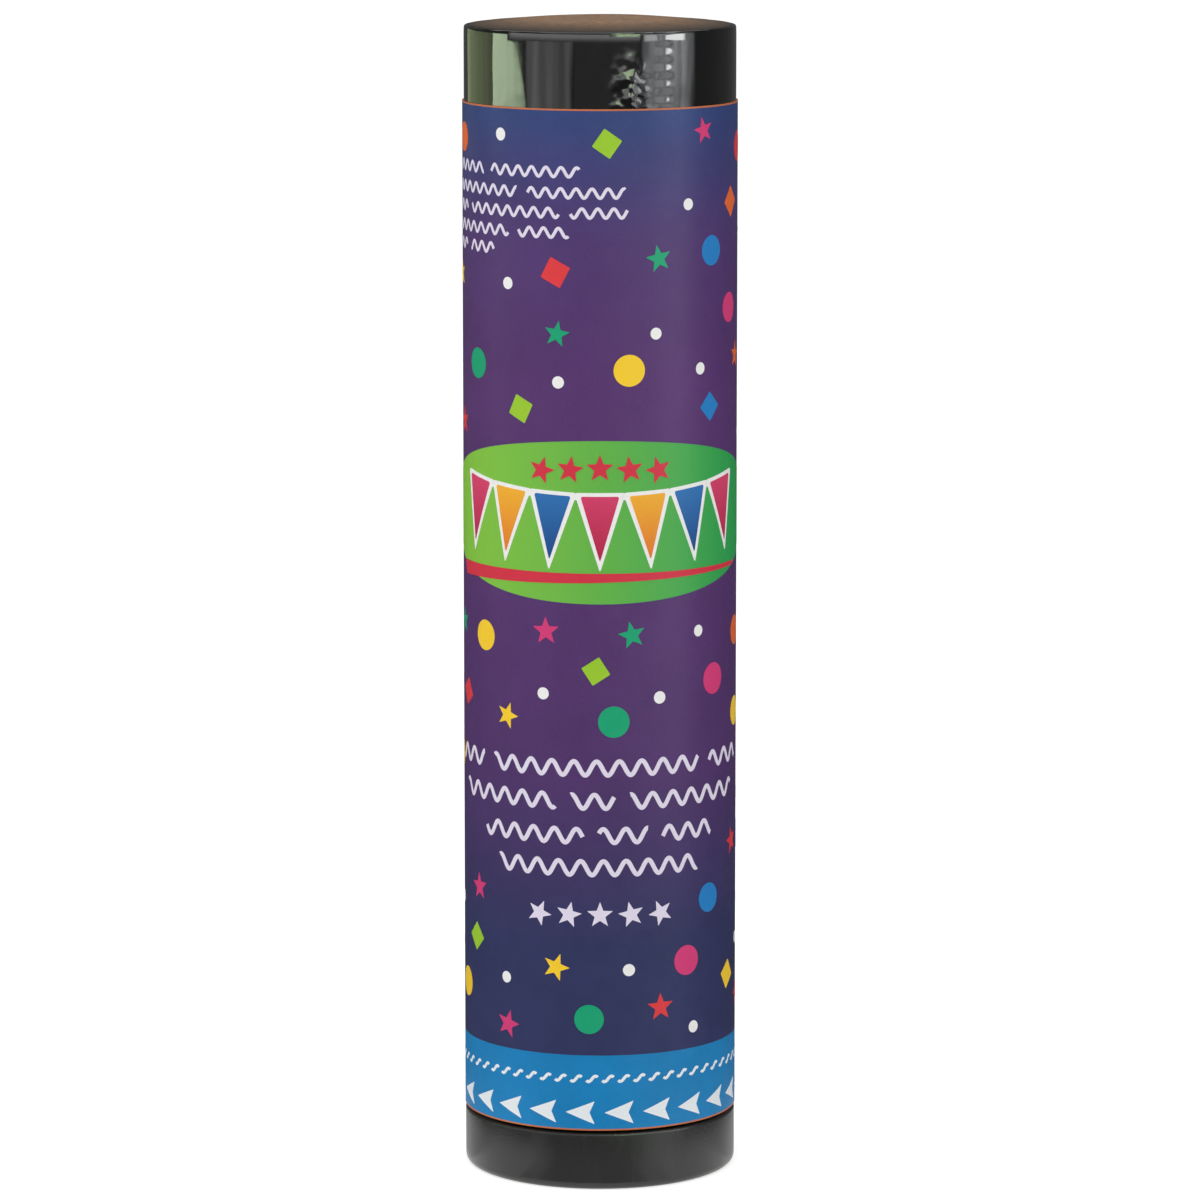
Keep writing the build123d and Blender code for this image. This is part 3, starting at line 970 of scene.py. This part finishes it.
class POPPER_OT_streamers(bpy.types.Operator):
    """Rolls the paper streamers turn on turn"""

    bl_idname = "popper.streamers"
    bl_label = "Streamers"

    def execute(self, context):
        turns = context.scene.popper_sizes.streamer_turns
        for number, colour in enumerate(("red", "yellow", "blue")):
            low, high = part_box(f"streamer_{colour}")
            outer, core = (high.x - low.x) / 2 - 0.15 * MM, 1.8 * MM
            bpy.ops.mesh.primitive_grid_add(x_subdivisions=44 * turns, y_subdivisions=4, size=1)
            piece = just_added(f"rolled_streamer_{colour}")
            for vertex in piece.data.vertices:
                along, up = vertex.co.x + 0.5, vertex.co.y + 0.5
                turn = math.tau * turns * along + number
                reach = core + (outer - core) * along
                slack = 0.5 + 0.5 * math.sin(turn * 0.37 + number)
                rise = low.z + 0.25 * slack * MM + up * (high.z - low.z - 0.4 * MM)
                vertex.co = (reach * math.cos(turn), reach * math.sin(turn), rise)
            apply_modifier(piece, "SOLIDIFY", thickness=0.22 * MM, offset=1.0)
            face_outwards(piece)
            paper = coloured_paper(f"{colour} streamer", ink(PAPER_CODES[colour]))
            dress(piece, "load", paper, 60.0)
            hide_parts(f"streamer_{colour}")
        return {"FINISHED"}


class POPPER_OT_confetti(bpy.types.Operator):
    """Deals out the loose confetti: thin curled slips, layer on layer"""

    bl_idname = "popper.confetti"
    bl_label = "Confetti"

    def slip(self, width, curl):
        bpy.ops.mesh.primitive_grid_add(x_subdivisions=6, y_subdivisions=6, size=width)
        piece = bpy.context.object
        for vertex in piece.data.vertices:
            across, along = vertex.co.x / width, vertex.co.y / width
            vertex.co.z = curl * (math.sin(math.pi * across * 1.4) * 0.6 + math.cos(math.tau * along * 0.8) * 0.4)
        apply_modifier(piece, "SOLIDIFY", thickness=0.09 * MM, offset=0.0)
        return piece

    def execute(self, context):
        sizes = context.scene.popper_sizes
        colours = list(PAPER_CODES)
        boxes = [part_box(f"confetti_{colour}") for colour in colours]
        low, high = min(box[0].z for box in boxes), max(box[1].z for box in boxes)
        reach = max(box[1].x for box in boxes)
        middle = math.sqrt(reach ** 2 - (sizes.slip_width / 2) ** 2) - sizes.slip_width / 2
        dice = random.Random(5)
        places = {colour: [] for colour in colours}
        dealt = [colours[number % len(colours)] for number in range(sizes.slip_count)]
        dice.shuffle(dealt)
        for number in range(sizes.slip_count):
            turn = math.radians(number * 137.5 + dice.uniform(-30, 30))
            away = middle * dice.uniform(0.4, 1.0)
            height = low + (high - low) * (number + 2) / (sizes.slip_count + 4)
            spot = Matrix.Translation((away * math.cos(turn), away * math.sin(turn), height))
            lean = Matrix.Rotation(math.radians(dice.uniform(-1.6, 1.6)), 4, "X")
            trimmed = Matrix.Scale(dice.uniform(0.82, 0.97), 4)
            about = Matrix.Rotation(turn + math.radians(dice.uniform(-9, 9)), 4, "Z")
            places[dealt[number]].append(spot @ about @ lean @ trimmed)
        for colour in colours:
            slips = copies_of(self.slip(sizes.slip_width, 0.16 * MM), places[colour])
            piece = joined(f"loose_confetti_{colour}", slips)
            face_outwards(piece)
            dress(piece, "load", coloured_paper(colour, ink(PAPER_CODES[colour])), 60.0)
            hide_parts(f"confetti_{colour}")
        return {"FINISHED"}


class POPPER_OT_inner_parts(bpy.types.Operator):
    """Gives the tube, bush, post, piston and wad their finishes"""

    bl_idname = "popper.inner_parts"
    bl_label = "Inner parts"

    def execute(self, context):
        colours = context.scene.popper_colours
        board = chipboard(colours)
        finishes = {
            "barrel_tube": board,
            "wad_disc": board,
            "tube_bush": moulding("bush plastic", colours.moulding_black, 0.45),
            "latch_post": moulding("post plastic", colours.moulding_natural, 0.42),
            "piston": moulding("piston plastic", colours.moulding_natural, 0.46),
        }
        for name, material in finishes.items():
            coat(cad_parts[name], material)
        return {"FINISHED"}


class POPPER_OT_stage(bpy.types.Operator):
    """Sets the floor, the soft studio light and the camera"""

    bl_idname = "popper.stage"
    bl_label = "Stage"

    def placed(self, name, data, place, aim):
        """Puts a lamp or the camera in its place and points it at a height on the barrel's axis."""
        holder = bpy.data.objects.new(name, data)
        bpy.context.scene.collection.objects.link(holder)
        holder.location = place
        holder.rotation_euler = (Vector((0, 0, aim)) - holder.location).to_track_quat("-Z", "Y").to_euler()
        return holder

    def lamp(self, name, place, width, height, radiance):
        """A soft lamp that lights the popper but isn't mirrored in it."""
        light = bpy.data.lights.new(name, "AREA")
        light.shape = "RECTANGLE"
        light.size, light.size_y = width, height
        light.energy = radiance * math.pi * width * height
        self.placed(name, light, place, 0.055).visible_glossy = False

    def card(self, name, first, last, line, strength, colour=(1.0, 1.0, 1.0), patchy=0.0, drawn_in=0.0, soft=0.0):
        """A studio card between two directions from the front, seen only in gloss.

        Its light can be patchy, its top drawn in towards its first side, and its sides soft.
        """
        steps = max(8, round((last - first) / 5))
        sweep, start = math.radians(last - first), math.radians(first - 90)
        sheet = turned(name, line, steps, sweep, start, capped=False)
        foot, head = line[0][1], line[-1][1]
        for vertex in sheet.data.vertices if drawn_in else ():
            spot = vertex.co
            share = ((spot.z - foot) / (head - foot)) ** 2 * drawn_in
            turn = (math.atan2(spot.y, spot.x) - start + 0.1) % math.tau - 0.1
            vertex.co = Matrix.Rotation(-turn * share, 3, "Z") @ spot
        material = bpy.data.materials.new(name)
        tree = NodeTree(material)
        place = tree.node("TexCoord", output="Object")
        cloud = tree.node("TexNoise", {"Vector": place, "Scale": 14.0, "Detail": 4.0})
        level = ((cloud - 0.5) * patchy * 4.0 + 1.0).math("MAXIMUM", 0.0) * strength
        if soft:
            right, back = [tree.node("SeparateXYZ", {0: place}, output=axis) for axis in range(2)]
            along = ((back.math("ARCTAN2", right) - start) / math.tau).math("FRACT") * (math.tau / sweep)
            level = level * ((1.0 - (along * 2.0 - 1.0).math("ABSOLUTE")) / soft).math("MINIMUM", 1.0)
        glow = tree.node("Emission", {"Color": colour + (1.0,), "Strength": level})
        tree.node("OutputMaterial", {0: glow})
        sheet.data.materials.append(material)
        for ray in ("camera", "diffuse", "transmission", "shadow"):
            setattr(sheet, f"visible_{ray}", False)

    def execute(self, context):
        scene = context.scene
        scene.view_settings.view_transform = "Standard"
        scene.world = bpy.data.worlds.new("studio")
        sky = NodeTree(scene.world)
        dim, bright = [sky.node("Background", {"Strength": strength}) for strength in (0.72, 1.0)]
        sky.split("OutputWorld", dim, bright)

        bpy.ops.mesh.primitive_plane_add(size=12)
        floor = just_added("studio_floor")
        paper = bpy.data.materials.new("studio floor")
        ground = NodeTree(paper)
        lit = ground.node("BsdfDiffuse", {"Color": (0.8, 0.8, 0.79, 1.0)})
        glow = ground.node("Emission", {"Color": (1.0, 1.0, 0.99, 1.0), "Strength": 0.6})
        ground.split("OutputMaterial", lit, ground.node("AddShader", {0: lit, 1: glow}))
        floor.data.materials.append(paper)

        self.lamp("left lamp", (-0.6, -0.1, 0.35), 0.5, 0.5, 1.5)
        self.lamp("right lamp", (0.6, -0.35, 0.4), 0.4, 0.4, 1.75)
        self.lamp("front lamp", (-0.1, -0.9, 0.6), 0.7, 0.5, 2.1)
        wall, ring_reach, table = 0.95, 0.034, 0.0003
        self.card("dark surround", -180, 180, [(wall, 0.0), (wall, 0.8)], 0.09)
        ring = [(0.0135, table), (ring_reach, table)]
        bounds = (-180, -82, -40, -30, 22, 34, 82, 180)
        for first, last, level in zip(bounds, bounds[1:], (0.68, 1.08, 0.66, 0.36, 0.68, 1.06, 0.74)):
            self.card("table by the base", first, last, ring, level)
        self.card("dark table", -180, 180, [(ring_reach, table), (wall, table)], 0.07)
        self.card("table sheen left", -60, -34, [(0.25, 0.0005), (wall, 0.0005)], 0.8)
        self.card("table sheen right", 50, 76, [(0.2, 0.0005), (wall, 0.0005)], 1.1)
        window, green = [(0.7, 0.046 + 0.0037 * row) for row in range(7)], (0.8, 1.0, 0.66)
        self.card("left window", -103, -65, window, 4.3, green, 0.1, 0.5)
        self.card("left window head", -103, -84, [(0.7, 0.0682), (0.7, 0.11)], 4.3, green, 0.1)
        self.card("left window shade", -150, -104, [(0.7, 0.046), (0.7, 0.11)], 0.6, (0.84, 1.0, 0.56), 0.2)
        self.card("front grey card", -66, -22, [(0.75, 0.0), (0.75, 0.25)], 0.72, patchy=0.5, soft=0.15)
        for step in range(1, 5):
            line = [(0.74, 0.056 + 0.012 * step), (0.74, 0.068 + 0.012 * step if step < 4 else 0.3)]
            self.card(f"upper card {step}", -84, 46, line, 0.38 * step, soft=0.08)
        self.card("small window", 8, 44, [(0.72, 0.116), (0.72, 0.45)], 4.2, (0.76, 1.0, 0.64), 0.6, soft=0.2)
        self.card("front dark card", -26, 40, [(0.8, 0.0), (0.8, 0.07)], 0.18, soft=0.1)
        for low, high, strength in ((0.0, 0.047, 2.0), (0.047, 0.056, 1.2), (0.056, 0.32, 2.0)):
            line = [(0.7, low), (0.7, high)]
            self.card("right grey card", 34, 86, line, strength, (0.93, 0.97, 1.0), 0.5, soft=0.4)
        strip = [(0.69, 0.074), (0.69, 0.16)]
        self.card("strip lamp", 56, 77, strip, 9.0, soft=0.3)
        self.card("strip lamp end", 38, 49, strip, 4.0, soft=0.3)
        self.card("ceiling lamp", 52, 74, [(0.6, 0.7), (0.5, 0.85)], 9.0)

        lens = bpy.data.cameras.new("camera")
        lens.lens, lens.sensor_width = 182.3, 36.0
        lens.clip_start, lens.clip_end = 0.01, 50.0
        scene.camera = self.placed("camera", lens, (0, -0.56, 0.14), 0.05335)
        return {"FINISHED"}


OPERATORS = (
    POPPER_OT_stage,
    POPPER_OT_barrel_wrap,
    POPPER_OT_label,
    POPPER_OT_printed_confetti,
    POPPER_OT_badge,
    POPPER_OT_squiggles,
    POPPER_OT_arrows,
    POPPER_OT_mouth_cover,
    POPPER_OT_twist_base,
    POPPER_OT_launch_spring,
    POPPER_OT_streamers,
    POPPER_OT_confetti,
    POPPER_OT_inner_parts,
)


class POPPER_PT_pieces(bpy.types.Panel):
    """Lists the popper's pieces"""

    bl_idname = "POPPER_PT_pieces"
    bl_label = "Confetti popper"
    bl_space_type = "VIEW_3D"
    bl_region_type = "UI"
    bl_category = "Popper"

    def draw(self, context):
        for operator in OPERATORS:
            self.layout.operator(operator.bl_idname)


CLASSES = (PopperSizes, PopperColours) + OPERATORS + (POPPER_PT_pieces,)


def register():
    for entry in CLASSES:
        bpy.utils.register_class(entry)
    bpy.types.Scene.popper_sizes = PointerProperty(type=PopperSizes)
    bpy.types.Scene.popper_colours = PointerProperty(type=PopperColours)


def unregister():
    del bpy.types.Scene.popper_colours
    del bpy.types.Scene.popper_sizes
    for entry in reversed(CLASSES):
        bpy.utils.unregister_class(entry)


def main():
    register()
    bpy.ops.popper.stage()
    bpy.ops.popper.barrel_wrap()
    bpy.ops.popper.label()
    bpy.ops.popper.printed_confetti()
    bpy.ops.popper.badge()
    bpy.ops.popper.squiggles()
    bpy.ops.popper.arrows()
    bpy.ops.popper.mouth_cover()
    bpy.ops.popper.twist_base()
    bpy.ops.popper.launch_spring()
    bpy.ops.popper.streamers()
    bpy.ops.popper.confetti()
    bpy.ops.popper.inner_parts()


if __name__ == "__main__":
    main()
